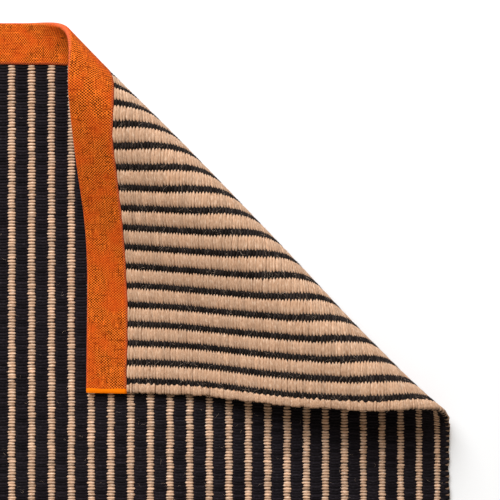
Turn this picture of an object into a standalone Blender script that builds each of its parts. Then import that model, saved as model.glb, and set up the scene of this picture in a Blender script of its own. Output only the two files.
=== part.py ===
import math
from collections import namedtuple

import bmesh
import bpy
from mathutils import Vector

# Rug, all sizes in metres
RUG_WIDTH = 0.590
RUG_LENGTH = 0.900
RUG_THICKNESS = 0.006
SELVEDGE_ROUNDING = 0.0020
ROUNDING_STEPS = 2

# Canvas binding that wraps each end on both faces
BINDING_WIDTH = 0.042
BINDING_THICKNESS = 0.0012
BINDING_CLEARANCE = 0.0006
BINDING_SEAM_GAP = 0.0008
BINDING_ROUNDING = 0.0018

# Line of the folded corner, seen from above: it starts at the head end and runs down to the right edge
CREASE_START = (-0.0860, 0.4445)
CREASE_HEADING = math.radians(-45.47)
LAYER_GAP = 0.0006
FLAP_TURN = 0.037
FLAP_TURN_EASE = 0.030
FOOT_SHARE = 0.37

# One row per section across the crease
# along: distance along the crease; radius: of the open curl; mirror: line the flap is laid over about
# slope: how steeply the flap comes down from the curl, in degrees
FoldRow = namedtuple("FoldRow", "along radius mirror slope")
FOLD_SECTIONS = (
    FoldRow(-0.030, 0.0295, 0.0164, 14.6),
    FoldRow(0.060, 0.0300, 0.0168, 20.1),
    FoldRow(0.150, 0.0280, 0.0177, 25.6),
    FoldRow(0.240, 0.0275, 0.0169, 26.0),
    FoldRow(0.330, 0.0280, 0.0153, 22.9),
    FoldRow(0.420, 0.0305, 0.0138, 17.0),
    FoldRow(0.510, 0.0300, 0.0144, 11.2),
    FoldRow(0.600, 0.0185, 0.0181, 6.9),
)

# Facet lines of the fold
CURL_FROM = -0.060
CURL_TO = 0.075
CURL_STEP = 0.0060
RAMP_TO = 0.300
RAMP_STEP = 0.0150
SECTION_STEP = 0.020
SECTION_COUNT = 35
SECTION_FIRST = -0.080

# Shape along the crease at one section
Section = namedtuple("Section", "radius slope foot_radius curl_end ramp_end foot_end start")

JUTE_COLOUR = (0.335, 0.245, 0.170, 1.0)
JUTE_ROUGHNESS = 0.92
CANVAS_COLOUR = (0.560, 0.095, 0.010, 1.0)
CANVAS_ROUGHNESS = 0.88

CREASE_DIRECTION = Vector((math.cos(CREASE_HEADING), math.sin(CREASE_HEADING)))
OUTWARD_DIRECTION = Vector((-math.sin(CREASE_HEADING), math.cos(CREASE_HEADING)))


def clear_objects():
    for old in list(bpy.data.objects):
        bpy.data.objects.remove(old, do_unlink=True)


def make_material(name, colour, roughness):
    material = bpy.data.materials.new(name)
    material.use_nodes = True
    shader = material.node_tree.nodes["Principled BSDF"]
    shader.inputs["Base Color"].default_value = colour
    shader.inputs["Roughness"].default_value = roughness
    shader.inputs["Metallic"].default_value = 0.0
    material.diffuse_color = colour
    return material


def smooth_between(before, low, high, after, share):
    """Value on a smooth curve through four evenly spaced readings, between the middle two."""
    slope = high - before
    bend = 2.0 * before - 5.0 * low + 4.0 * high - after
    twist = 3.0 * (low - high) + after - before
    return low + 0.5 * share * (slope + share * (bend + share * twist))


def section_reading(column, along):
    """Smooth reading of one table column at a distance along the crease."""
    values = [getattr(row, column) for row in FOLD_SECTIONS]
    padded = [2.0 * values[0] - values[1]] + values + [2.0 * values[-1] - values[-2]]
    spacing = FOLD_SECTIONS[1].along - FOLD_SECTIONS[0].along
    place = (along - FOLD_SECTIONS[0].along) / spacing
    place = min(max(place, 0.0), len(values) - 1.001)
    index = int(place)
    return smooth_between(*padded[index:index + 4], place - index)


def fold_section(along):
    """Arc lengths of the curl, the ramp and the foot of the flap at a distance along the crease."""
    radius = section_reading("radius", along)
    slope = math.radians(section_reading("slope", along))
    drop = radius * (1.0 + math.cos(slope)) - RUG_THICKNESS - LAYER_GAP
    foot_radius = FOOT_SHARE * drop / (1.0 - math.cos(slope))
    ramp = (1.0 - FOOT_SHARE) * drop / math.sin(slope)
    curl_end = radius * (math.pi + slope)
    ramp_end = curl_end + ramp
    foot_end = ramp_end + foot_radius * slope
    reach = -radius * math.sin(slope) - ramp * math.cos(slope) - foot_radius * math.sin(slope)
    start = section_reading("mirror", along) - 0.5 * (reach + foot_end)
    return Section(radius, slope, foot_radius, curl_end, ramp_end, foot_end, start)


def section_point(section, travel):
    """Outward reach, height and turn of the middle of the cloth after a travel from the curl's start."""
    radius = section.radius
    if travel <= 0.0:
        return travel, 0.0, 0.0
    if travel <= section.curl_end:
        turn = travel / radius
        return radius * math.sin(turn), radius * (1.0 - math.cos(turn)), turn
    cosine = math.cos(section.slope)
    sine = math.sin(section.slope)
    reach = -radius * sine
    height = radius * (1.0 + cosine)
    if travel <= section.ramp_end:
        past = travel - section.curl_end
        return reach - past * cosine, height - past * sine, math.pi + section.slope
    ramp = section.ramp_end - section.curl_end
    reach -= ramp * cosine
    height -= ramp * sine
    if travel <= section.foot_end:
        left = section.slope - (travel - section.ramp_end) / section.foot_radius
        reach -= section.foot_radius * (sine - math.sin(left))
        height -= section.foot_radius * (math.cos(left) - cosine)
        return reach, height, math.pi + left
    reach -= section.foot_radius * sine
    return reach - (travel - section.foot_end), RUG_THICKNESS + LAYER_GAP, math.pi


def folded(point):
    """Place of a point of the flat rug once the corner is folded over."""
    flat = Vector((point.x - CREASE_START[0], point.y - CREASE_START[1]))
    along = flat.dot(CREASE_DIRECTION)
    outward = flat.dot(OUTWARD_DIRECTION)
    section = fold_section(along)
    travel = outward - section.start
    if travel <= 0.0:
        return point.copy()
    reach, height, turn = section_point(section, travel)
    over = max(travel - 0.5 * math.pi * section.radius, 0.0)
    along += FLAP_TURN * over * over / (over + FLAP_TURN_EASE)
    half = 0.5 * RUG_THICKNESS
    below = half - point.z
    outward = section.start + reach + below * math.sin(turn)
    place = CREASE_DIRECTION * along + OUTWARD_DIRECTION * outward
    return Vector((
        CREASE_START[0] + place.x,
        CREASE_START[1] + place.y,
        half + height - below * math.cos(turn),
    ))


def steps(first, last, step):
    count = round((last - first) / step)
    return [first + (last - first) * index / count for index in range(count + 1)]


def cut_facets(mesh):
    """Lines along the crease through the curl and the ramp, then lines across it."""
    origin = Vector((CREASE_START[0], CREASE_START[1], 0.0))
    outward = OUTWARD_DIRECTION.to_3d()
    along = CREASE_DIRECTION.to_3d()
    offsets = steps(CURL_FROM, CURL_TO, CURL_STEP) + steps(CURL_TO, RAMP_TO, RAMP_STEP)[1:]
    for offset in offsets:
        geometry = mesh.verts[:] + mesh.edges[:] + mesh.faces[:]
        bmesh.ops.bisect_plane(mesh, geom=geometry, plane_co=origin + outward * offset, plane_no=outward)
    for index in range(SECTION_COUNT):
        distance = SECTION_FIRST + SECTION_STEP * index
        faces = [
            face for face in mesh.faces
            if (face.calc_center_median() - origin).dot(outward) > CURL_FROM
        ]
        edges = {edge for face in faces for edge in face.edges}
        corners = {corner for face in faces for corner in face.verts}
        geometry = list(corners) + list(edges) + faces
        bmesh.ops.bisect_plane(mesh, geom=geometry, plane_co=origin + along * distance, plane_no=along)


def box(mesh, low, high):
    corners = [
        mesh.verts.new((x, y, z))
        for z in (low[2], high[2])
        for y in (low[1], high[1])
        for x in (low[0], high[0])
    ]
    sides = ((0, 2, 3, 1), (4, 5, 7, 6), (0, 1, 5, 4), (2, 6, 7, 3), (0, 4, 6, 2), (1, 3, 7, 5))
    for side in sides:
        mesh.faces.new([corners[index] for index in side])


def end_face(mesh, direction):
    """The face of a plain body that looks along +Y or -Y."""
    mesh.normal_update()
    return max(mesh.faces, key=lambda face: direction * face.calc_center_median().y + face.normal.y * direction)


def push_end(mesh, direction, margin, distance):
    """Inset the face at one end and move the inner part along Y."""
    face = end_face(mesh, direction)
    bmesh.ops.inset_region(mesh, faces=[face], thickness=margin, use_even_offset=True)
    moved = bmesh.ops.extrude_face_region(mesh, geom=[face])
    tip = [item for item in moved["geom"] if isinstance(item, bmesh.types.BMVert)]
    bmesh.ops.delete(mesh, geom=[face], context="FACES_ONLY")
    bmesh.ops.translate(mesh, verts=tip, vec=(0.0, direction * distance, 0.0))


def round_edges(mesh, edges, radius):
    bmesh.ops.bevel(
        mesh,
        geom=edges,
        offset=radius,
        segments=ROUNDING_STEPS,
        profile=0.5,
        affect="EDGES",
        clamp_overlap=True,
    )


def edge_runs(edge, axis):
    reach = edge.verts[1].co - edge.verts[0].co
    return abs(reach[axis]) > 0.99 * reach.length


def finish_node(mesh, name, material):
    """Cut, fold and store a body that was built flat."""
    cut_facets(mesh)
    for corner in mesh.verts:
        corner.co = folded(corner.co)
    bmesh.ops.recalc_face_normals(mesh, faces=mesh.faces[:])
    data = bpy.data.meshes.new(name)
    mesh.to_mesh(data)
    mesh.free()
    data.materials.append(material)
    node = bpy.data.objects.new(name, data)
    bpy.context.scene.collection.objects.link(node)
    return node


def rug_cloth(material):
    """Woven sheet whose two ends are thinned to sit inside the bindings."""
    body_end = 0.5 * RUG_LENGTH - BINDING_WIDTH - BINDING_SEAM_GAP
    mesh = bmesh.new()
    box(mesh, (-0.5 * RUG_WIDTH, -body_end, 0.0), (0.5 * RUG_WIDTH, body_end, RUG_THICKNESS))
    selvedges = [edge for edge in mesh.edges if edge_runs(edge, 1)]
    round_edges(mesh, selvedges, SELVEDGE_ROUNDING)
    margin = BINDING_THICKNESS + BINDING_CLEARANCE
    tongue = BINDING_WIDTH + BINDING_SEAM_GAP - margin
    push_end(mesh, 1.0, margin, tongue)
    push_end(mesh, -1.0, margin, tongue)
    return finish_node(mesh, "rug_cloth", material)


def binding(name, direction, material):
    """Tape folded round one end of the rug, with its own two ends tucked in and closed."""
    outer = direction * 0.5 * RUG_LENGTH
    inner = outer - direction * BINDING_WIDTH
    mesh = bmesh.new()
    box(
        mesh,
        (-0.5 * RUG_WIDTH, min(outer, inner), 0.0),
        (0.5 * RUG_WIDTH, max(outer, inner), RUG_THICKNESS),
    )
    fold_edges = [
        edge for edge in mesh.edges
        if edge_runs(edge, 1) or (edge_runs(edge, 0) and abs(edge.verts[0].co.y - outer) < BINDING_THICKNESS)
    ]
    round_edges(mesh, fold_edges, BINDING_ROUNDING)
    push_end(mesh, -direction, BINDING_THICKNESS, BINDING_THICKNESS - BINDING_WIDTH)
    return finish_node(mesh, name, material)


clear_objects()
jute = make_material("jute_weave", JUTE_COLOUR, JUTE_ROUGHNESS)
canvas = make_material("canvas_tape", CANVAS_COLOUR, CANVAS_ROUGHNESS)
rug_cloth(jute)
binding("binding_head", 1.0, canvas)
binding("binding_foot", -1.0, canvas)
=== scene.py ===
import math
import random

import bpy
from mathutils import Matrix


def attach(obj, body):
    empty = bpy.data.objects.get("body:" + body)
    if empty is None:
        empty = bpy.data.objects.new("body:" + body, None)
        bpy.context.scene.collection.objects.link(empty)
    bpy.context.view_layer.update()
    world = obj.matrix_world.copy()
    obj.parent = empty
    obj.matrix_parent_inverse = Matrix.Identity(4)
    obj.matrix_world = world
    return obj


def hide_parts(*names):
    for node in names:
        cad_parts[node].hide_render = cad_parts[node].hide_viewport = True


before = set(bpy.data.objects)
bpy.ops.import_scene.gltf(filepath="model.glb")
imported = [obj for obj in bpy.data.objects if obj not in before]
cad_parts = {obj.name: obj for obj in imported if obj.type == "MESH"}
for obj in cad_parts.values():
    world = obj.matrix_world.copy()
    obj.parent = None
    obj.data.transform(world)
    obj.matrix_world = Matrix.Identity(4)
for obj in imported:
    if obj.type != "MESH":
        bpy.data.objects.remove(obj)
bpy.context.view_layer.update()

# the rug as it is woven, in metres
rug = {
    "width": 0.590,
    "length": 0.900,
    "thickness": 0.006,
    "bindingWidth": 0.042,
    "pickPitch": 0.0030,
    "stripes": 30,
    "stripePitch": 0.02004,
    "firstStripe": 0.0125,     # from the right selvedge to the middle of the first stripe
    "edgeSqueeze": 0.0159,     # how much the stripes close up towards the right selvedge
    "edgeSqueezeStripes": 8.0,
}

# the folded corner
crease = {
    "start": (-0.0860, 0.4445),     # where the crease leaves the head end
    "heading": math.radians(-45.47),
    "flatBehind": -0.12,    # past this distance behind the crease the cloth is flat
    "layerGap": 0.0006,
    "turn": 0.037,          # how much the flap swings along the crease, and how gently it starts
    "turnEase": 0.030,
    "footShare": 0.37,      # part of the flap's drop that the bend at its foot takes
    # along the crease, radius of the curl, mirror line of the flap, slope of the flap in degrees
    "rows": (
        (-0.030, 0.0295, 0.0164, 14.6),
        (0.060, 0.0300, 0.0168, 20.1),
        (0.150, 0.0280, 0.0177, 25.6),
        (0.240, 0.0275, 0.0169, 26.0),
        (0.330, 0.0280, 0.0153, 22.9),
        (0.420, 0.0305, 0.0138, 17.0),
        (0.510, 0.0300, 0.0144, 11.2),
        (0.600, 0.0185, 0.0181, 6.9),
    ),
}
random.seed(27)
sectionStore = {}


def clamp(value, low, high):
    return min(max(value, low), high)


# where a point of the flat cloth lies once the corner is folded

def creaseReading(column, along):
    # a smooth curve through one column
    rows = crease["rows"]
    values = [row[column] for row in rows]
    values = [2 * values[0] - values[1]] + values + [2 * values[-1] - values[-2]]
    place = (along - rows[0][0]) / (rows[1][0] - rows[0][0])
    place = clamp(place, 0.0, len(rows) - 1.001)
    index = int(place)
    part = place - index
    before, low, high, after = values[index:index + 4]
    bend = 2 * before - 5 * low + 4 * high - after
    twist = 3 * (low - high) + after - before
    return low + 0.5 * part * (high - before + part * (bend + part * twist))


def creaseSection(along):
    # the fold's cross-section there: curl, ramp and foot, and where the curl starts
    key = round(along, 4)
    if key not in sectionStore:
        radius = creaseReading(1, key)
        slope = math.radians(creaseReading(3, key))
        drop = radius * (1 + math.cos(slope)) - rug["thickness"] - crease["layerGap"]
        foot = crease["footShare"] * drop / (1 - math.cos(slope))
        ramp = (1 - crease["footShare"]) * drop / math.sin(slope)
        curlEnd = radius * (math.pi + slope)
        reach = -(radius + foot) * math.sin(slope) - ramp * math.cos(slope)
        footEnd = curlEnd + ramp + foot * slope
        start = creaseReading(2, key) - 0.5 * (reach + footEnd)
        sectionStore[key] = (radius, slope, foot, ramp, curlEnd, footEnd, start)
    return sectionStore[key]


def creasePlace(x, y):
    dx, dy = x - crease["start"][0], y - crease["start"][1]
    c, s = math.cos(crease["heading"]), math.sin(crease["heading"])
    return dx * c + dy * s, dy * c - dx * s


def travelAt(x, y):
    along, outward = creasePlace(x, y)
    return outward - creaseSection(along)[6]


def foldPoint(x, y, z):
    # z is the height above the back of the cloth while it lies flat
    along, outward = creasePlace(x, y)
    if outward < crease["flatBehind"]:
        return x, y, z
    radius, slope, foot, ramp, curlEnd, footEnd, start = creaseSection(along)
    travel = outward - start
    if travel <= 0:
        return x, y, z
    if travel < curlEnd:
        turn = travel / radius
        reach, height = radius * math.sin(turn), radius * (1 - math.cos(turn))
    elif travel < curlEnd + ramp:
        past = travel - curlEnd
        turn = math.pi + slope
        reach = -radius * math.sin(slope) - past * math.cos(slope)
        height = radius * (1 + math.cos(slope)) - past * math.sin(slope)
    elif travel < footEnd:
        left = (footEnd - travel) / foot
        turn = math.pi + left
        height = rug["thickness"] + crease["layerGap"] + foot * (1 - math.cos(left))
        reach = -(radius + foot) * math.sin(slope) - ramp * math.cos(slope) + foot * math.sin(left)
    else:
        turn = math.pi
        height = rug["thickness"] + crease["layerGap"]
        reach = -(radius + foot) * math.sin(slope) - ramp * math.cos(slope) - (travel - footEnd)
    over = max(travel - 0.5 * math.pi * radius, 0.0)
    along += crease["turn"] * over * over / (over + crease["turnEase"])
    below = 0.5 * rug["thickness"] - z
    outward = start + reach + below * math.sin(turn)
    c, s = math.cos(crease["heading"]), math.sin(crease["heading"])
    return (
        crease["start"][0] + along * c - outward * s,
        crease["start"][1] + along * s + outward * c,
        0.5 * rug["thickness"] + height - below * math.cos(turn),
    )


def stripeOffset(number):
    # distance of a stripe's middle from the right selvedge; it may be a fraction
    squeeze = rug["edgeSqueeze"] * (1 - math.exp(-(number - 1) / rug["edgeSqueezeStripes"]))
    return rug["firstStripe"] + rug["stripePitch"] * (number - 1) - squeeze


def stripeNumber(offset):
    low, high = -1.0, rug["stripes"] + 3.0
    for step in range(24):
        middle = 0.5 * (low + high)
        if stripeOffset(middle) < offset:
            low = middle
        else:
            high = middle
    return low


def offsetToX(offset):
    return 0.5 * rug["width"] - offset


# picking, applying and storing meshes

def deselectAll():
    if bpy.context.object and bpy.context.object.mode != "OBJECT":
        bpy.ops.object.mode_set(mode="OBJECT")
    bpy.ops.object.select_all(action="DESELECT")


def pickObject(obj):
    deselectAll()
    obj.select_set(True)
    bpy.context.view_layer.objects.active = obj


def applyModifiers(obj):
    pickObject(obj)
    for modifier in list(obj.modifiers):
        bpy.ops.object.modifier_apply(modifier=modifier.name)


def faceOutward(obj):
    pickObject(obj)
    bpy.ops.object.mode_set(mode="EDIT")
    bpy.ops.mesh.select_all(action="SELECT")
    bpy.ops.mesh.normals_make_consistent(inside=False)
    bpy.ops.object.mode_set(mode="OBJECT")


def storeMesh(name, points, faces, flat, tones, material):
    # flat holds each point's place on the unfolded cloth, which the materials read as UV
    mesh = bpy.data.meshes.new(name)
    mesh.from_pydata(points, [], faces)
    layer = mesh.uv_layers.new(name="clothUV")
    for loop in mesh.loops:
        layer.data[loop.index].uv = flat[loop.vertex_index]
    tone = mesh.attributes.new("tone", "FLOAT", "POINT")
    tone.data.foreach_set("value", tones)
    mesh.polygons.foreach_set("use_smooth", [True] * len(mesh.polygons))
    mesh.materials.append(material)
    obj = bpy.data.objects.new(name, mesh)
    bpy.context.scene.collection.objects.link(obj)
    return obj


def lensTemplate(sides, rings, roundness):
    # one float of yarn, a metre long, wide and high, pointed at both ends
    deselectAll()
    bpy.ops.mesh.primitive_uv_sphere_add(segments=sides, ring_count=rings + 1, radius=0.5)
    lens = bpy.context.object
    bpy.ops.object.mode_set(mode="EDIT")
    bpy.ops.mesh.select_all(action="SELECT")
    bpy.ops.transform.rotate(value=math.pi / 2, orient_axis="Y", center_override=(0, 0, 0))
    bpy.ops.mesh.normals_make_consistent(inside=False)
    bpy.ops.object.mode_set(mode="OBJECT")
    points = []
    for vertex in lens.data.vertices:
        x, y, z = vertex.co
        size = math.hypot(y, z)
        if size > 1e-5:
            fuller = (2 * size) ** roundness / (2 * size)
            y, z = y * fuller, z * fuller
        points.append((x, y, z))
    # sorted, because Blender lists a sphere's faces in an order that varies from run to run
    faces = sorted(tuple(face.vertices) for face in lens.data.polygons)
    mesh = lens.data
    bpy.data.objects.remove(lens, do_unlink=True)
    bpy.data.meshes.remove(mesh)
    return points, faces


def scatterFloats(name, template, spots, material, paintedEndHighlight=0.0):
    # each spot: x, y, z, length, width, height, turn, tone
    # painted highlight: lightens the end of each float away from the right selvedge
    shape, sides = template
    points, faces, flat, tones = [], [], [], []
    for x, y, z, length, width, height, turn, tone in spots:
        first = len(points)
        c, s = math.cos(turn), math.sin(turn)
        for px, py, pz in shape:
            fx = x + px * length * c - py * width * s
            fy = y + px * length * s + py * width * c
            points.append(foldPoint(fx, fy, z + pz * height))
            flat.append((fx, fy))
            tones.append(tone - px * paintedEndHighlight)
        faces.extend([tuple(first + corner for corner in side) for side in sides])
    return storeMesh(name, points, faces, flat, tones, material)


# node helpers

def addNode(tree, kind, **values):
    node = tree.nodes.new(kind)
    for key, value in values.items():
        setattr(node, key, value)
    return node


def joinSockets(tree, source, target):
    tree.links.new(source, target)


def mathNode(tree, operation, first, second=None, third=None):
    node = addNode(tree, "ShaderNodeMath", operation=operation)
    for index, value in enumerate((first, second, third)):
        if value is None:
            continue
        if isinstance(value, (int, float)):
            node.inputs[index].default_value = value
        else:
            joinSockets(tree, value, node.inputs[index])
    return node.outputs[0]


def mixColour(tree, factor, first, second):
    node = addNode(tree, "ShaderNodeMix", data_type="RGBA", blend_type="MIX")
    for socket, value in ((node.inputs[0], factor), (node.inputs[6], first), (node.inputs[7], second)):
        if isinstance(value, (int, float)):
            socket.default_value = value
        elif isinstance(value, tuple):
            socket.default_value = (*value, 1.0)
        else:
            joinSockets(tree, value, socket)
    return node.outputs[2]


def splitPlace(tree, place):
    node = addNode(tree, "ShaderNodeSeparateXYZ")
    joinSockets(tree, place, node.inputs[0])
    return node.outputs[0], node.outputs[1]


def makeGroup(name, inputs, outputs):
    tree = bpy.data.node_groups.new(name, "ShaderNodeTree")
    for socket, kind, value in inputs:
        made = tree.interface.new_socket(name=socket, in_out="INPUT", socket_type=kind)
        if value is not None:
            made.default_value = value
    for socket, kind in outputs:
        tree.interface.new_socket(name=socket, in_out="OUTPUT", socket_type=kind)
    return tree, tree.nodes.new("NodeGroupInput").outputs, tree.nodes.new("NodeGroupOutput").inputs


def makeFibreGroup():
    # streaks of fibre that run along the yarn, with a slower change of shade over them
    tree, given, result = makeGroup(
        "fibreStreaks",
        [("Place", "NodeSocketVector", None), ("Along", "NodeSocketFloat", 300.0),
         ("Across", "NodeSocketFloat", 2600.0), ("Patch", "NodeSocketFloat", 60.0)],
        [("Streak", "NodeSocketFloat"), ("Shade", "NodeSocketFloat")],
    )
    x, y = splitPlace(tree, given["Place"])
    stretched = addNode(tree, "ShaderNodeCombineXYZ")
    joinSockets(tree, mathNode(tree, "MULTIPLY", x, given["Along"]), stretched.inputs[0])
    joinSockets(tree, mathNode(tree, "MULTIPLY", y, given["Across"]), stretched.inputs[1])
    streak = addNode(tree, "ShaderNodeTexNoise")
    streak.inputs["Scale"].default_value = 1.0
    streak.inputs["Detail"].default_value = 3.0
    streak.inputs["Roughness"].default_value = 0.62
    joinSockets(tree, stretched.outputs[0], streak.inputs["Vector"])
    patch = addNode(tree, "ShaderNodeTexNoise")
    patch.inputs["Detail"].default_value = 3.0
    joinSockets(tree, given["Place"], patch.inputs["Vector"])
    joinSockets(tree, given["Patch"], patch.inputs["Scale"])
    joinSockets(tree, streak.outputs[0], result["Streak"])
    joinSockets(tree, patch.outputs[0], result["Shade"])
    return tree


def makeWeaveGroup():
    # plain weave: which thread is on top, and how high it stands
    tree, given, result = makeGroup(
        "plainWeave",
        [("Place", "NodeSocketVector", None), ("Warp", "NodeSocketFloat", 0.001),
         ("Weft", "NodeSocketFloat", 0.001), ("Sharp", "NodeSocketFloat", 2.2)],
        [("Over", "NodeSocketFloat"), ("Height", "NodeSocketFloat")],
    )
    x, y = splitPlace(tree, given["Place"])
    warp = mathNode(tree, "MULTIPLY", mathNode(tree, "DIVIDE", x, given["Warp"]), math.pi)
    weft = mathNode(tree, "MULTIPLY", mathNode(tree, "DIVIDE", y, given["Weft"]), math.pi)
    warpWave = mathNode(tree, "SINE", warp)
    weftWave = mathNode(tree, "SINE", weft)
    both = mathNode(tree, "MULTIPLY", warpWave, weftWave)
    over = mathNode(tree, "MULTIPLY_ADD", both, given["Sharp"], 0.5)
    over = mathNode(tree, "MINIMUM", mathNode(tree, "MAXIMUM", over, 0.0), 1.0)
    warpHeight = mathNode(tree, "ABSOLUTE", warpWave)
    height = mathNode(tree, "MULTIPLY", warpHeight, mathNode(tree, "ABSOLUTE", weftWave))
    joinSockets(tree, over, result["Over"])
    joinSockets(tree, height, result["Height"])
    return tree


def newMaterial(name, finish):
    material = bpy.data.materials.new(name)
    material.use_nodes = True
    tree = material.node_tree
    shader = tree.nodes["Principled BSDF"]
    shader.inputs["Roughness"].default_value = finish["roughness"]
    shader.inputs["Metallic"].default_value = 0.0
    shader.inputs["Specular IOR Level"].default_value = finish["specular"]
    return material, tree, shader


def clothPlace(tree):
    return addNode(tree, "ShaderNodeUVMap", uv_map="clothUV").outputs[0]


def placeGroup(tree, group, place, **values):
    node = addNode(tree, "ShaderNodeGroup", node_tree=group)
    joinSockets(tree, place, node.inputs["Place"])
    for key, value in values.items():
        node.inputs[key].default_value = value
    return node


def bumpFrom(tree, height, finish, shader):
    node = addNode(tree, "ShaderNodeBump")
    node.inputs["Strength"].default_value = finish["bump"]
    node.inputs["Distance"].default_value = finish["bumpDepth"]
    joinSockets(tree, height, node.inputs["Height"])
    joinSockets(tree, node.outputs[0], shader.inputs["Normal"])


def rampOver(tree, factor, stops):
    node = addNode(tree, "ShaderNodeValToRGB")
    ramp = node.color_ramp
    while len(ramp.elements) < len(stops):
        ramp.elements.new(0.5)
    for element, (place, colour) in zip(ramp.elements, stops):
        element.position = place
        element.color = (*colour, 1.0)
    joinSockets(tree, factor, node.inputs[0])
    return node.outputs[0]


def greyOver(tree, factor, start, end):
    # start and end are each a place on the ramp and how light it is there
    return rampOver(tree, factor, [(place, (light, light, light)) for place, light in (start, end)])


def readAttribute(tree, name):
    return addNode(tree, "ShaderNodeAttribute", attribute_name=name).outputs["Fac"]


def brighten(tree, colour, lift, shader):
    bright = addNode(tree, "ShaderNodeHueSaturation")
    joinSockets(tree, colour, bright.inputs["Color"])
    joinSockets(tree, lift, bright.inputs["Value"])
    joinSockets(tree, bright.outputs[0], shader.inputs["Base Color"])


fibreStreaks = makeFibreGroup()
plainWeave = makeWeaveGroup()
print("node groups ready")


# jute yarn, dark yarn, the inside of the cloth and the canvas

juteFinish = {
    "roots": (0.175, 0.078, 0.030),
    "body": (0.580, 0.373, 0.245),
    "tips": (0.885, 0.720, 0.600),
    "ramp": ((0.28, "roots"), (0.47, "body"), (0.53, "body"), (0.68, "tips")),
    "warm": (0.578, 0.361, 0.235),      # slow changes of shade, and how far they count
    "cool": (0.587, 0.425, 0.312),
    "patchShare": 0.22,
    "roughness": 0.92,
    "specular": 0.12,
    "sheen": 0.06,
    "bump": 0.45,
    "bumpDepth": 0.0006,
    "fibre": {"Along": 230.0, "Across": 1500.0, "Patch": 55.0},     # streaks and patches per metre
    "toneLow": 0.66,        # brightness of the darkest float, and how much the lightest adds
    "toneSpan": 0.62,
}
darkFinish = {
    "deep": (0.005, 0.004, 0.005),
    "body": (0.011, 0.009, 0.012),
    "tips": (0.055, 0.048, 0.052),
    "ramp": ((0.30, "deep"), (0.56, "body"), (0.78, "tips")),
    "roughness": 0.85,
    "specular": 0.06,
    "sheen": 0.0,
    "bump": 0.4,
    "bumpDepth": 0.0005,
    "fibre": {"Along": 300.0, "Across": 2600.0, "Patch": 40.0},
    "toneLow": 0.55,
    "toneSpan": 0.9,
}


def makeYarn(name, finish):
    material, tree, shader = newMaterial(name, finish)
    shader.inputs["Sheen Weight"].default_value = finish["sheen"]
    fibre = placeGroup(tree, fibreStreaks, clothPlace(tree), **finish["fibre"])
    streak = fibre.outputs["Streak"]
    colour = rampOver(tree, streak, [(place, finish[tint]) for place, tint in finish["ramp"]])
    if "warm" in finish:
        patch = rampOver(tree, fibre.outputs["Shade"], ((0.38, finish["warm"]), (0.62, finish["cool"])))
        colour = mixColour(tree, finish["patchShare"], colour, patch)
    lift = mathNode(tree, "MULTIPLY_ADD", readAttribute(tree, "tone"), finish["toneSpan"], finish["toneLow"])
    brighten(tree, colour, lift, shader)
    bumpFrom(tree, streak, finish, shader)
    return material


groundFinish = {
    "dark": (0.010, 0.008, 0.012),
    # painted shade: the jute of the middle is darker than the yarn, for the shade in the gaps between the
    # floats
    "jute": (0.36, 0.205, 0.115),
    "plainBack": (0.66, 0.42, 0.29),    # jute where the underside has no floats of its own
    "roughness": 0.95,
    "specular": 0.08,
    "bump": 0.8,
    "bumpDepth": 0.0011,
    "streakHeight": 0.4,    # height of the fibres against that of the ribs
    "fibre": {"Along": 260.0, "Across": 1300.0, "Patch": 40.0},
    "streakLow": 0.45,      # brightness of the darkest fibres, and how much the lightest add
    "streakSpan": 1.1,
    "ribShadeLow": 0.6,          # painted shade: the same for the ribs of the back, darker in the grooves between the picks
    "ribShadeSpan": 0.9,
    "stripeHalf": 0.15,     # half a dark stripe of the back, in stripe pitches
    "teeth": 0.045,
    "wobble": 0.06,
    "juteOnFace": 0.02,
}


def makeGround(name, finish, back):
    # the middle of the cloth, which shows between the floats and all over the flat part's underside
    material, tree, shader = newMaterial(name, finish)
    place = clothPlace(tree)
    fibre = placeGroup(tree, fibreStreaks, place, **finish["fibre"])
    streak = fibre.outputs["Streak"]
    turns = mathNode(tree, "MULTIPLY", splitPlace(tree, place)[1], 2 * math.pi / rug["pickPitch"])
    rib = mathNode(tree, "MULTIPLY_ADD", mathNode(tree, "SINE", turns), 0.5, 0.5)
    shade = mathNode(tree, "MULTIPLY_ADD", streak, finish["streakSpan"], finish["streakLow"])
    if back:
        number = readAttribute(tree, "stripe")
        away = mathNode(tree, "SUBTRACT", number, mathNode(tree, "ROUND", number))
        away = mathNode(tree, "ABSOLUTE", away)
        half = finish["stripeHalf"] + 0.5 * finish["teeth"]
        tooth = mathNode(tree, "MULTIPLY_ADD", rib, -finish["teeth"], half)
        wobble = mathNode(tree, "MULTIPLY_ADD", streak, finish["wobble"], -0.5 * finish["wobble"])
        inside = mathNode(tree, "LESS_THAN", away, mathNode(tree, "ADD", tooth, wobble))
        # painted shade: darker jute between the floats, the plain jute where the underside has none
        colour = mixColour(tree, readAttribute(tree, "plainBack"), finish["jute"], finish["plainBack"])
        colour = mixColour(tree, inside, colour, finish["dark"])
        # painted shade: the back is darker in the grooves between the picks
        paintedRibShade = mathNode(tree, "MULTIPLY_ADD", rib, finish["ribShadeSpan"], finish["ribShadeLow"])
        shade = mathNode(tree, "MULTIPLY", shade, paintedRibShade)
    else:
        share = mathNode(tree, "MULTIPLY", fibre.outputs["Shade"], finish["juteOnFace"])
        colour = mixColour(tree, share, finish["dark"], finish["jute"])
    brighten(tree, colour, shade, shader)
    height = mathNode(tree, "MULTIPLY_ADD", streak, finish["streakHeight"], rib)
    bumpFrom(tree, height, finish, shader)
    return material


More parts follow.
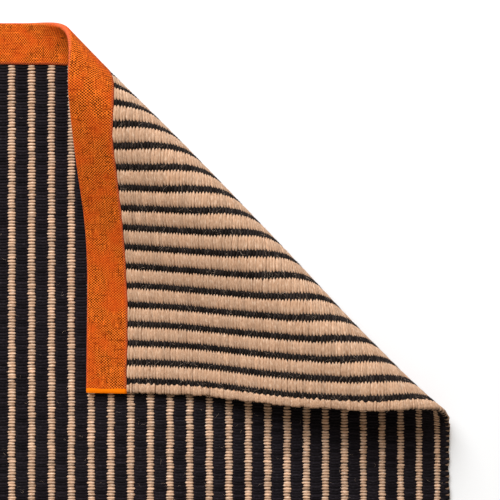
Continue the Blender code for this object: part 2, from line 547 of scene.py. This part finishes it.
canvasFinish = {
    "bright": (1.0, 0.205, 0.020),
    "between": (0.58, 0.092, 0.008),
    "shadow": (0.012, 0.0, 0.0),
    "red": (0.62, 0.062, 0.006),
    "faded": (0.68, 0.130, 0.075),
    "end": (1.0, 0.215, 0.002),
    "roughness": 0.86,
    "specular": 0.03,
    "bump": 0.45,
    "bumpDepth": 0.0005,
    "slubHeight": 0.6,      # height of the thick threads against that of the weave
    "weave": {"Warp": 0.00124, "Weft": 0.00150, "Sharp": 3.4},
    "slubs": {"Along": 90.0, "Across": 620.0, "Patch": 75.0},
    "threads": {"Along": 560.0, "Across": 70.0, "Patch": 34.0},
    "wobbleScale": 60.0,    # the threads wander this often per metre, and this far
    "wobble": 0.0022,
    "endFrom": 0.75,        # where the bright end of the canvas begins; lower is wider
}


def makeCanvas(name, finish):
    material, tree, shader = newMaterial(name, finish)
    place = clothPlace(tree)
    wobble = addNode(tree, "ShaderNodeTexNoise")
    wobble.inputs["Scale"].default_value = finish["wobbleScale"]
    joinSockets(tree, place, wobble.inputs["Vector"])
    shifted = addNode(tree, "ShaderNodeVectorMath", operation="MULTIPLY_ADD")
    joinSockets(tree, wobble.outputs["Color"], shifted.inputs[0])
    shifted.inputs[1].default_value = (finish["wobble"], finish["wobble"], 0.0)
    joinSockets(tree, place, shifted.inputs[2])
    weave = placeGroup(tree, plainWeave, shifted.outputs[0], **finish["weave"])
    slubs = placeGroup(tree, fibreStreaks, place, **finish["slubs"])
    threads = placeGroup(tree, fibreStreaks, place, **finish["threads"])
    slub, thread = slubs.outputs["Streak"], threads.outputs["Streak"]
    # the check stands out in some patches and closes up in others
    lines = mathNode(tree, "ADD", thread, slub)
    patches = mathNode(tree, "MULTIPLY", slubs.outputs["Shade"], 0.65)
    patches = mathNode(tree, "MULTIPLY_ADD", lines, 0.35, patches)
    strong = greyOver(tree, patches, (0.57, 0.30), (0.66, 1.0))
    low = mixColour(tree, strong, finish["between"], finish["shadow"])
    high = mixColour(tree, strong, finish["between"], finish["bright"])
    colour = mixColour(tree, weave.outputs["Over"], low, high)
    # bright and dark threads, then redder patches
    for source, start, end, tint in (
            (slub, (0.57, 0.0), (0.68, 0.8), "bright"),
            (thread, (0.35, 0.62), (0.45, 0.0), "shadow"),
            (slub, (0.33, 0.68), (0.43, 0.0), "shadow"),
            (threads.outputs["Shade"], (0.46, 0.0), (0.62, 0.40), "red")):
        colour = mixColour(tree, greyOver(tree, source, start, end), colour, finish[tint])
    colour = mixColour(tree, readAttribute(tree, "tone"), colour, finish["faded"])
    end = mathNode(tree, "MULTIPLY_ADD", slubs.outputs["Shade"], 0.5, readAttribute(tree, "turnedEnd"))
    end = mathNode(tree, "GREATER_THAN", end, finish["endFrom"])
    colour = mixColour(tree, end, colour, finish["end"])
    joinSockets(tree, colour, shader.inputs["Base Color"])
    height = mathNode(tree, "MULTIPLY_ADD", slub, finish["slubHeight"], weave.outputs["Height"])
    bumpFrom(tree, height, finish, shader)
    return material


juteYarn = makeYarn("juteYarn", juteFinish)
juteBackYarn = makeYarn("juteBackYarn", dict(
    juteFinish, roots=(0.31, 0.150, 0.082), body=(0.625, 0.382, 0.240), tips=(0.955, 0.718, 0.542),
    fibre=dict(juteFinish["fibre"], Across=1000.0), toneLow=0.64, toneSpan=0.36))
darkYarn = makeYarn("darkYarn", darkFinish)
paleFluff = makeYarn("paleFluff", dict(
    juteFinish, roots=(0.30, 0.22, 0.17), body=(0.50, 0.39, 0.31), tips=(0.70, 0.60, 0.50)))
darkBackYarn = makeYarn("darkBackYarn", dict(
    darkFinish, body=(0.023, 0.018, 0.0165), tips=(0.092, 0.072, 0.058)))
groundFace = makeGround("groundFace", groundFinish, back=False)
groundBack = makeGround("groundBack", groundFinish, back=True)
orangeCanvas = makeCanvas("orangeCanvas", canvasFinish)
print("materials ready")


# floats of yarn on both faces, in metres

floats = {
    "rungLength": 0.0083,
    "rightRungLength": 0.0075,      # in the stripes near the right selvedge
    "rightStripes": 5,
    "edgeRungLength": 0.0066,       # in the stripe beside it
    "rungWidth": 0.0031,
    "rungHeight": 0.0024,
    "rungLevel": 0.0049,
    "darkOverlap": 0.0014,
    "darkWidth": 1.12,              # in picks
    "darkHeight": 0.0019,
    "darkLevel": 0.0047,
    "darkMargin": 0.0022,           # how far the dark floats stay inside the selvedges
    "backDarkLength": 0.0087,
    "backDarkWidth": 0.0034,
    "backJuteInset": 0.0022,
    "backShift": 0.0008,            # the stripes of the back lie this much nearer the right edge
    "backJuteWidth": 0.0048,
    "backHeight": 0.0019,
    "backLevel": 0.0010,
    "backFrom": -0.020,             # the back has floats from this far before the curl
    "firstInward": 0.0009,
    "firstLength": 0.0076,
    "tipGap": 0.0096,
    "tipGapLength": 0.0050,
    "tipGapWidth": 0.0019,
    "faceTones": 0.20,              # spread of the brightness from float to float
    "backTones": 0.16,
    # painted highlight on the end of each float of the back away from the right selvedge
    "paintedEndHighlight": 0.35,
}

# the most that a float of each kind is off its place and size, in metres, and radians for its turn
uneven = {
    "pick": 0.00012,
    "rung": {
        "x": 0.00040, "y": 0.00022, "level": 0.00015,
        "length": 0.0009, "width": 0.00025, "height": 0.0002, "turn": 0.035},
    "dark": {"y": 0.0001, "length": 0.0006, "height": 0.0002},
    "tipGap": {"y": 0.0002, "length": 0.0016, "turn": 0.05},
    "backDark": {"x": 0.0003, "y": 0.0002, "length": 0.0009, "turn": 0.04},
    "backJute": {
        "x": 0.0003, "y": 0.00035, "level": 0.0001,
        "length": 0.0008, "width": 0.0007, "height": 0.00018, "turn": 0.022},
}


# the middle of the cloth, one closed sheet

ground = {
    "low": 0.0010,
    "high": 0.0048,
    "side": 0.0014,         # how far it stays inside the selvedges and the ends
    "end": 0.0022,
    "columns": 84,
    "rows": 128,
    "plainEase": 0.006,     # over this much the plain underside fades out
}


def makeGroundSheet():
    deselectAll()
    bpy.ops.mesh.primitive_grid_add(x_subdivisions=ground["columns"], y_subdivisions=ground["rows"], size=1.0)
    sheet = bpy.context.object
    sheet.name = "rugGround"
    sheet.data.name = "rugGround"
    bpy.ops.object.mode_set(mode="EDIT")
    bpy.ops.mesh.select_all(action="SELECT")
    bpy.ops.transform.resize(value=(
        rug["width"] - 2 * ground["side"], rug["length"] - 2 * ground["end"], 1.0))
    bpy.ops.object.mode_set(mode="OBJECT")
    mesh = sheet.data
    while mesh.uv_layers:
        mesh.uv_layers.remove(mesh.uv_layers[0])
    layer = mesh.uv_layers.new(name="clothUV")
    for loop in mesh.loops:
        place = mesh.vertices[loop.vertex_index].co
        layer.data[loop.index].uv = (place.x, place.y)
    stripe = mesh.attributes.new("stripe", "FLOAT", "POINT")
    stripe.data.foreach_set("value", [stripeNumber(0.5 * rug["width"] - v.co.x) for v in mesh.vertices])
    plain = mesh.attributes.new("plainBack", "FLOAT", "POINT")
    plain.data.foreach_set("value", [
        clamp((floats["backFrom"] - travelAt(v.co.x, v.co.y)) / ground["plainEase"], 0.0, 1.0)
        for v in mesh.vertices])
    middle = 0.5 * (ground["low"] + ground["high"])
    for vertex in mesh.vertices:
        vertex.co = foldPoint(vertex.co.x, vertex.co.y, middle)
    mesh.materials.append(groundFace)
    mesh.materials.append(groundBack)
    solid = sheet.modifiers.new("wall", "SOLIDIFY")
    solid.thickness = ground["high"] - ground["low"]
    solid.offset = 0.0
    solid.material_offset = 1
    applyModifiers(sheet)
    bpy.ops.object.shade_smooth()
    return sheet


rugGround = makeGroundSheet()
print("ground sheet", len(rugGround.data.polygons))


# where the floats lie

def pickRows():
    body = 0.5 * rug["length"] - rug["bindingWidth"]
    count = round(2 * body / rug["pickPitch"])
    return [-body + (index + 0.5) * 2 * body / count for index in range(count)]


def jitter(amount):
    return random.uniform(-amount, amount)


def drawTone(spread):
    return clamp(random.gauss(0.5, spread), 0.0, 1.0)


def layFloat(kind, x, y, level, length, width, height, tone=None):
    off = uneven[kind]
    sizes = (("x", x), ("y", y), ("level", level), ("length", length), ("width", width),
             ("height", height), ("turn", 0.0))
    spot = [value + jitter(off[key]) if key in off else value for key, value in sizes]
    return (*spot, random.random() if tone is None else tone)


def rungLength(number):
    if number == 1:
        return floats["edgeRungLength"]
    return floats["rightRungLength"] if number <= floats["rightStripes"] else floats["rungLength"]


def faceSpots():
    rungs, darks = [], []
    for y in pickRows():
        beat = jitter(uneven["pick"])
        for number in range(1, rug["stripes"] + 1):
            x = offsetToX(stripeOffset(number))
            tone = drawTone(floats["faceTones"])
            rungs.append(layFloat(
                "rung", x, y + beat, floats["rungLevel"], rungLength(number),
                floats["rungWidth"], floats["rungHeight"], tone))
        for number in range(0, rug["stripes"] + 1):
            right = stripeOffset(number) + 0.5 * floats["rungLength"] - floats["darkOverlap"]
            left = stripeOffset(number + 1) - 0.5 * floats["rungLength"] + floats["darkOverlap"]
            right = max(right, floats["darkMargin"])
            left = min(left, rug["width"] - floats["darkMargin"])
            x = offsetToX(0.5 * (left + right))
            darks.append(layFloat(
                "dark", x, y + 0.5 * rug["pickPitch"] + beat, floats["darkLevel"], left - right,
                rug["pickPitch"] * floats["darkWidth"], floats["darkHeight"]))
    return rungs, darks


def backSpots():
    jutes, darks = [], []
    for row, y in enumerate(pickRows()):
        beat = jitter(uneven["pick"])
        for number in range(1, rug["stripes"] + 1):
            x = offsetToX(stripeOffset(number) - floats["backShift"])
            if travelAt(x, y) < floats["backFrom"]:
                continue
            length = floats["backDarkLength"]
            if number == 1:
                # the first stripe runs between the tips of the selvedge's loops
                x -= floats["firstInward"]
                length = floats["firstLength"]
                if row % 2:
                    darks.append(layFloat(
                        "tipGap", offsetToX(floats["tipGap"]), y, floats["backLevel"],
                        floats["tipGapLength"], floats["tipGapWidth"], floats["backHeight"]))
            darks.append(layFloat(
                "backDark", x, y + 0.5 * rug["pickPitch"] + beat, floats["backLevel"],
                length, floats["backDarkWidth"], floats["backHeight"]))
        for number in range(1, rug["stripes"]):
            right = stripeOffset(number) + floats["backJuteInset"]
            left = stripeOffset(number + 1) - floats["backJuteInset"]
            x = offsetToX(0.5 * (left + right) - floats["backShift"])
            if travelAt(x, y) < floats["backFrom"]:
                continue
            tone = drawTone(floats["backTones"])
            jutes.append(layFloat(
                "backJute", x, y + beat, floats["backLevel"], left - right,
                floats["backJuteWidth"], floats["backHeight"], tone))
    return jutes, darks


rungLens = lensTemplate(4, 3, 0.9)      # sides, rings, roundness
darkLens = lensTemplate(4, 2, 0.6)
toothLens = lensTemplate(4, 3, 1.1)
juteLens = lensTemplate(6, 5, 1.15)
rungSpots, darkSpots = faceSpots()
juteRungs = scatterFloats("juteRungs", rungLens, rungSpots, juteYarn)
darkFloats = scatterFloats("darkFloats", darkLens, darkSpots, darkYarn)
jutePlaces, teethPlaces = backSpots()
juteFloats = scatterFloats("juteFloats", juteLens, jutePlaces, juteBackYarn, paintedEndHighlight=floats["paintedEndHighlight"])
darkTeeth = scatterFloats("darkTeeth", toothLens, teethPlaces, darkBackYarn)
for piece in (juteRungs, darkFloats, juteFloats, darkTeeth):
    print(piece.name, sum(len(face.vertices) - 2 for face in piece.data.polygons))


# selvedges, where the yarn turns round the edge warp

selvedge = {
    "sides": 6,
    # paths of (distance from the edge, height) in millimetres, from the tip on the back to the face
    "longPath": (
        (10.0, 0.9), (9.3, 0.75), (7.9, 0.65), (5.2, 0.70), (2.3, 0.85),
        (0.75, 1.7), (0.30, 3.0), (0.9, 4.5), (2.6, 5.2), (4.4, 4.8)),
    "shortPath": (
        (9.7, 1.05), (8.6, 0.85), (5.6, 0.85), (2.4, 1.0), (1.0, 1.8), (0.75, 2.8), (1.3, 3.9)),
    "darkPath": ((7.2, 4.6), (5.2, 5.1), (2.8, 5.2), (1.2, 4.6), (0.55, 3.4), (1.0, 2.2)),
    "thickness": 1.55,
    "width": 1.95,          # in picks, where a long loop lies on the back
    "shortWidth": 1.45,     # the same for the short loops between them
    "darkWidth": 1.5,       # and for the dark loops
    "widthUneven": 0.25,
    "shortUneven": 0.15,
    "ragged": 0.9,          # how unevenly the tips end, in millimetres
    "raggedShare": 3,       # the tip is the first third of the loop
    "faceWidth": 0.34,      # what is left of a long loop's width on the face
    "shortTaper": 0.3,
    "darkTaper": 0.1,
    "taperCurve": 1.6,
    "roundness": 0.40,      # how fast a loop thickens behind its ends
    "endSize": 0.12,        # size of its ends against its middle
    "along": (0.0005, 0.0004, 0.0003),      # how far long, short and dark loops stray
    "bundle": (4, 11),      # picks that stand together, with a slit on either side
    "slit": 0.75,           # how often there is a slit, and its width in picks
    "bulge": 1.2,           # how far the middle of a bundle stands out, in millimetres
    "bulgeFrom": 0.6,
    "wander": 0.60,         # how far the edge runs in and out, in millimetres
    "longWave": 97,         # waves of the edge, in radians per metre
    "shortWave": 370,
    "shortWaveShare": 0.8,
    "pushReach": 5,         # how far in the waves still move a loop, in millimetres
    "lowest": 0.00004,      # the loops stay this much above the floor
    "tones": 0.16,
    "shortDarker": 0.1,
    "backTone": 0.2,        # brighter on the back, and darker towards the face: painted shade round the turn of the edge
    "faceTone": 3.2,
    "darkestTone": -0.9,
}


def closeRings(rings, flip=False):
    count = len(rings[0])
    faces = []
    for low, high in zip(rings, rings[1:]):
        for step in range(count):
            after = (step + 1) % count
            faces.append((low[step], high[step], high[after], low[after]))
    faces += [tuple(rings[0]), tuple(rings[-1][::-1])]
    return [face[::-1] for face in faces] if flip else faces


def addLoop(store, path, side, y, width, tone, taper, push, reach=0.0):
    # a flattened yarn along one of the paths
    points, faces, flat, tones = store
    last = len(path) - 1
    rings = []
    for index, (away, height) in enumerate(path):
        before = path[max(index - 1, 0)]
        after = path[min(index + 1, last)]
        dx, dz = after[0] - before[0], after[1] - before[1]
        size = math.hypot(dx, dz)
        normal = (-dz / size, dx / size)
        share = index / last
        away += reach * max(0.0, 1 - selvedge["raggedShare"] * share)
        full = selvedge["endSize"]
        if 0 < index < last:
            full = math.sin(math.pi * share) ** selvedge["roundness"]
        wide = full * (1 - taper * share ** selvedge["taperCurve"])
        ring = []
        for step in range(selvedge["sides"]):
            angle = 2 * math.pi * step / selvedge["sides"]
            out = 0.5 * selvedge["thickness"] * full * math.sin(angle)
            across = 0.5 * width * wide * math.cos(angle)
            pushed = push * max(0.0, 1 - away / selvedge["pushReach"])
            offset = max((away + pushed + normal[0] * out) * 0.001, 0.0)
            level = max((height + normal[1] * out) * 0.001, selvedge["lowest"])
            x = side * (0.5 * rug["width"] - offset)
            ring.append(len(points))
            points.append(foldPoint(x, y + across, level))
            flat.append((x + index * 0.002, y + across))    # 2 mm of yarn from ring to ring
            # painted shade: each loop darkens from the back round the edge towards the face, no darker than
            # the darkest tone
            shade = tone + selvedge["backTone"] - selvedge["faceTone"] * share ** 3
            tones.append(max(shade, selvedge["darkestTone"]))
        rings.append(ring)
    faces.extend(closeRings(rings, side > 0))


def makeSelvedges():
    jute, dark = ([], [], [], []), ([], [], [], [])
    pitch = rug["pickPitch"]
    longStray, shortStray, darkStray = selvedge["along"]
    places = pickRows()
    for side in (-1, 1):
        member, members = 0, selvedge["bundle"][0]
        for row, y in enumerate(places):
            member += 1
            if member > members:
                member, members = 1, random.randint(*selvedge["bundle"])
            middle = math.sin(math.pi * (member - 0.5) / members)
            waves = math.sin(y * selvedge["longWave"] + side)
            waves += selvedge["shortWaveShare"] * math.sin(y * selvedge["shortWave"])
            push = selvedge["wander"] * (waves + jitter(0.5))
            push += selvedge["bulge"] * (selvedge["bulgeFrom"] - middle)
            tone = drawTone(selvedge["tones"])
            slit = member + 1 >= members and random.random() < selvedge["slit"]
            apart = selvedge["slit"] if slit else 0.0
            width = pitch * (selvedge["width"] - apart + jitter(selvedge["widthUneven"]))
            if row % 2 == 0:
                taper = 1 - selvedge["faceWidth"]
                reach = jitter(selvedge["ragged"])
                addLoop(
                    jute, selvedge["longPath"], side, y + jitter(longStray), width, tone, taper, push, reach)
            else:
                width = pitch * (selvedge["shortWidth"] + jitter(selvedge["shortUneven"]))
                reach = jitter(selvedge["ragged"])
                addLoop(
                    jute, selvedge["shortPath"], side, y + jitter(shortStray), width,
                    tone - selvedge["shortDarker"], selvedge["shortTaper"], push, reach)
                addLoop(
                    dark, selvedge["darkPath"], side, y + jitter(darkStray), pitch * selvedge["darkWidth"],
                    random.random(), selvedge["darkTaper"], push)
    juteLoops = storeMesh("juteLoops", *jute, juteBackYarn)
    darkLoops = storeMesh("darkLoops", *dark, darkYarn)
    for piece in (juteLoops, darkLoops):
        faceOutward(piece)
    return juteLoops, darkLoops


juteLoops, darkLoops = makeSelvedges()
print("selvedges", len(juteLoops.data.polygons), len(darkLoops.data.polygons))


# loose fibres that stand out of the yarn

fuzz = {
    "backCount": 1500,
    "faceCount": 800,
    "edgeCount": 500,
    "thickness": 0.00010,
    "endShare": 0.35,           # thickness of a fibre's two ends against its middle
    "length": (0.0030, 0.0095),
    "faceShorter": 0.7,
    "edgeLength": (0.0015, 0.0035),
    "curl": 0.7,                # spread of the bend and of the heading, in radians
    "backHeading": 0.8,
    "faceHeading": 1.0,
    "backFrom": 0.012,          # fibres of the back start this far into the curl
    "backLevel": 0.0002,
    "faceLevel": 0.0058,
    "edgeLevel": (0.0015, 0.0045),
    "edgeOut": 0.0026,
    "sideMargin": 0.003,
    "endMargin": 0.004,
    "lift": 0.0010,
    "edgeLift": 0.0004,
    "backTone": (0.4, 1.1),
    "faceTone": (0.1, 0.8),
    "edgeTone": (0.4, 1.0),
}


def addFibre(store, x, y, level, rise, heading, length, curl, tone):
    # a bent hair with three sides and three lengths
    points, faces, flat, tones = store
    rings = []
    for index in range(4):
        share = index / 3
        turn = heading + curl * share
        fx = x + length * (share - 0.5) * math.cos(turn)
        fy = y + length * (share - 0.5) * math.sin(turn)
        z = level + rise * math.sin(math.pi * share)
        thick = fuzz["thickness"] * (fuzz["endShare"] if index in (0, 3) else 1.0)
        ring = []
        for step in range(3):
            angle = 2 * math.pi * step / 3
            px = fx - math.sin(turn) * 0.5 * thick * math.cos(angle)
            py = fy + math.cos(turn) * 0.5 * thick * math.cos(angle)
            ring.append(len(points))
            points.append(foldPoint(px, py, z + 0.5 * thick * math.sin(angle)))
            flat.append((px, py))
            tones.append(tone)
        rings.append(ring)
    faces.extend(closeRings(rings))


def makeFuzz():
    store = ([], [], [], [])
    half = 0.5 * rug["width"] - fuzz["sideMargin"]
    body = 0.5 * rug["length"] - rug["bindingWidth"] - fuzz["endMargin"]
    made = 0
    while made < fuzz["backCount"]:
        x, y = random.uniform(-half, half), random.uniform(-body, body)
        if travelAt(x, y) < fuzz["backFrom"]:
            continue
        addFibre(
            store, x, y, fuzz["backLevel"], -fuzz["lift"] * random.random(),
            random.gauss(0.0, fuzz["backHeading"]), random.uniform(*fuzz["length"]),
            random.gauss(0.0, fuzz["curl"]), random.uniform(*fuzz["backTone"]))
        made += 1
    for index in range(fuzz["faceCount"]):
        x, y = random.uniform(-half, half), random.uniform(-body, body)
        addFibre(
            store, x, y, fuzz["faceLevel"], fuzz["lift"] * random.random(),
            random.gauss(0.0, fuzz["faceHeading"]), random.uniform(*fuzz["length"]) * fuzz["faceShorter"],
            random.gauss(0.0, fuzz["curl"]), random.uniform(*fuzz["faceTone"]))
    for index in range(fuzz["edgeCount"]):
        side = random.choice((-1, 1))
        x, y = side * (half + fuzz["edgeOut"]), random.uniform(-body, body)
        addFibre(
            store, x, y, random.uniform(*fuzz["edgeLevel"]), fuzz["edgeLift"],
            random.uniform(0.0, math.pi), random.uniform(*fuzz["edgeLength"]),
            random.gauss(0.0, fuzz["curl"]), random.uniform(*fuzz["edgeTone"]))
    piece = storeMesh("looseFibres", *store, paleFluff)
    faceOutward(piece)
    return piece


looseFibres = makeFuzz()
print("loose fibres", len(looseFibres.data.polygons))


# canvas bindings, a thin tape folded round each end with its own ends tucked in

tape = {
    "thickness": 0.0009,
    "top": 0.00575,
    "bottom": 0.00052,
    "flatSteps": 13,
    "noseSteps": 9,
    "noseIn": 0.0001,           # the nose stays this much inside the rug's end
    "columnPitch": 0.0034,
    "tuck": 0.007,
    "tuckSteps": 3,
    "sideIn": 0.0004,
    "foldRadius": 0.0004,       # of the turned ends, and the angles of their round
    "foldAngles": (0.5, 1.2, 1.95, 2.64),
    "edgeWave": 0.00028,
    "waveFrom": 0.012,          # the wave fades out this far from the tape's edges
    "longWave": 61,             # waves of the edges, in radians per metre
    "shortWave": 143,
    "shortWaveShare": 0.6,
    "waveDrift": 0.05,
    "phases": {1: 0.7, -1: 2.1},
    "fading": 0.6,              # how pale the canvas is along its edges, and how far in
    "fadingWidth": 0.0020,
    "edgeFading": 0.0006,       # that much less far in at the sewn edges
    "turnedEnd": 0.0045,        # bright selvedge of the canvas where its end is turned in
    "turnedFull": 1.5,
}


def tapeProfile():
    # (distance from the rug's end, height) from the face edge round the nose to the back edge
    radius = 0.5 * (tape["top"] - tape["bottom"])
    nose = radius + 0.5 * tape["thickness"] - tape["noseIn"]
    middle = tape["bottom"] + radius
    flats, turns = tape["flatSteps"], tape["noseSteps"]
    face = [rug["bindingWidth"] + (nose - rug["bindingWidth"]) * i / flats for i in range(flats)]
    arc = [math.pi / 2 + math.pi * i / turns for i in range(turns + 1)]
    rows = [(away, tape["top"]) for away in face]
    rows += [(nose + radius * math.cos(angle), middle + radius * math.sin(angle)) for angle in arc]
    rows += [(away, tape["bottom"]) for away in reversed(face)]
    return rows


def tapeColumns():
    # (x, depth below the tape's own surface): the ends turn in under themselves
    half = 0.5 * rug["width"] - tape["sideIn"]
    radius, steps = tape["foldRadius"], tape["tuckSteps"]
    count = round(2 * half / tape["columnPitch"])
    inner = [(-half + 2 * half * i / count, 0.0) for i in range(1, count)]
    turn = [(half - radius + radius * math.sin(a), radius * (1 - math.cos(a))) for a in tape["foldAngles"]]
    tuck = [(half - radius - tape["tuck"] * i / steps, 2 * radius) for i in range(1, steps + 1)]
    right = turn + tuck
    left = [(-x, depth) for x, depth in reversed(right)]
    return left + inner + right


def makeTape(name, end):
    profile, columns = tapeProfile(), tapeColumns()
    points, faces, flat, tones, ends = [], [], [], [], []
    phase = tape["phases"][end]
    length = 0.0
    for row, (away, height) in enumerate(profile):
        before, after = profile[max(row - 1, 0)], profile[min(row + 1, len(profile) - 1)]
        da, dh = after[0] - before[0], after[1] - before[1]
        size = math.hypot(da, dh)
        inward = (-dh / size, da / size)     # towards the cloth inside the tape
        if row:
            length += math.hypot(away - profile[row - 1][0], height - profile[row - 1][1])
        rim = max(0.0, 1 - (rug["bindingWidth"] - away) / tape["waveFrom"])
        for x, depth in columns:
            ripple = math.sin(x * tape["shortWave"] + 2 * phase + row * tape["waveDrift"])
            wave = math.sin(x * tape["longWave"] + phase) + tape["shortWaveShare"] * ripple
            off = away + rim * tape["edgeWave"] * wave + inward[0] * depth
            level = height + inward[1] * depth
            y = end * (0.5 * rug["length"] - off)
            points.append(foldPoint(x, y, level))
            flat.append((x, length))
            close = min(away, rug["bindingWidth"] - away + tape["edgeFading"])
            tones.append(max(0.0, tape["fading"] * (1 - close / tape["fadingWidth"])))
            fromEnd = (0.5 * rug["width"] - abs(x)) / tape["turnedEnd"]
            ends.append(clamp(tape["turnedFull"] - fromEnd, 0.0, 1.0))
    wide = len(columns)
    for row in range(len(profile) - 1):
        for column in range(wide - 1):
            a = row * wide + column
            face = (a, a + 1, a + wide + 1, a + wide)
            faces.append(face if end < 0 else face[::-1])
    obj = storeMesh(name, points, faces, flat, tones, orangeCanvas)
    turned = obj.data.attributes.new("turnedEnd", "FLOAT", "POINT")
    turned.data.foreach_set("value", ends)
    wall = obj.modifiers.new("wall", "SOLIDIFY")
    wall.thickness = tape["thickness"]
    wall.offset = 0.0
    applyModifiers(obj)
    bpy.ops.object.shade_smooth()
    return obj, length


headTape, tapeLength = makeTape("headTape", 1)
footTape, tapeLength = makeTape("footTape", -1)
print("bindings", len(headTape.data.polygons), "flat length", round(tapeLength, 4))


# what each piece stands for

clothParts = [juteRungs, darkFloats, juteFloats, darkTeeth, juteLoops, darkLoops, looseFibres]
for piece in [rugGround, headTape, footTape] + clothParts:
    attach(piece, "root")
for piece in [rugGround] + clothParts:
    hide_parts("rug_cloth")
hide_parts("binding_head")
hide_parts("binding_foot")
print("pieces placed")


# floor, light and camera

floorFinish = {
    "size": 40.0,
    "colour": (0.896, 0.933, 0.981),        # slightly blue, to come out white under the warm sky
    "roughness": 0.9,
    "specular": 0.1,
}
studio = {
    "skyStrength": 0.39,
    "skyColour": (1.0, 0.870, 0.720),
    "keyFrom": (-1.185, 2.943, 2.640),      # a large round softbox at the upper left
    "keyPower": 228.0,
    "keyWidth": 2.75,
    "cameraHeight": 0.806,
    "cameraPlace": (0.095, 0.2225),
    "sensorWidth": 36.0,
    "viewWidth": 0.500,     # metres across the picture, at the top of the flat layer
    "layerTop": 0.006,
}


def makeFloor():
    deselectAll()
    bpy.ops.mesh.primitive_plane_add(size=floorFinish["size"], location=(0, 0, 0))
    floor = bpy.context.object
    floor.name = "floor"
    material, tree, shader = newMaterial("paleFloor", floorFinish)
    shader.inputs["Base Color"].default_value = (*floorFinish["colour"], 1.0)
    floor.data.materials.append(material)


def makeLights():
    world = bpy.data.worlds.new("softSky")
    world.use_nodes = True
    back = world.node_tree.nodes["Background"]
    back.inputs[0].default_value = (*studio["skyColour"], 1.0)
    back.inputs[1].default_value = studio["skyStrength"]
    bpy.context.scene.world = world
    lamp = bpy.data.lights.new("keyLight", "AREA")
    lamp.shape = "DISK"
    lamp.energy = studio["keyPower"]
    lamp.size = studio["keyWidth"]
    key = bpy.data.objects.new("keyLight", lamp)
    bpy.context.scene.collection.objects.link(key)
    key.location = studio["keyFrom"]
    toLamp = key.location.copy()    # it faces the middle of the picture
    toLamp.x -= studio["cameraPlace"][0]
    toLamp.y -= studio["cameraPlace"][1]
    key.rotation_euler = toLamp.to_track_quat("Z", "Y").to_euler()
    key.visible_camera = False


def makeCamera():
    # straight above, as in the photograph
    data = bpy.data.cameras.new("mainCamera")
    data.sensor_width = studio["sensorWidth"]
    distance = studio["cameraHeight"] - studio["layerTop"]
    data.lens = data.sensor_width * distance / studio["viewWidth"]
    camera = bpy.data.objects.new("mainCamera", data)
    bpy.context.scene.collection.objects.link(camera)
    camera.location = (*studio["cameraPlace"], studio["cameraHeight"])
    bpy.context.scene.camera = camera


makeFloor()
makeLights()
makeCamera()
bpy.context.scene.view_settings.view_transform = "Standard"     # keeps the blacks and the orange deep
print("floor, lights and camera ready")
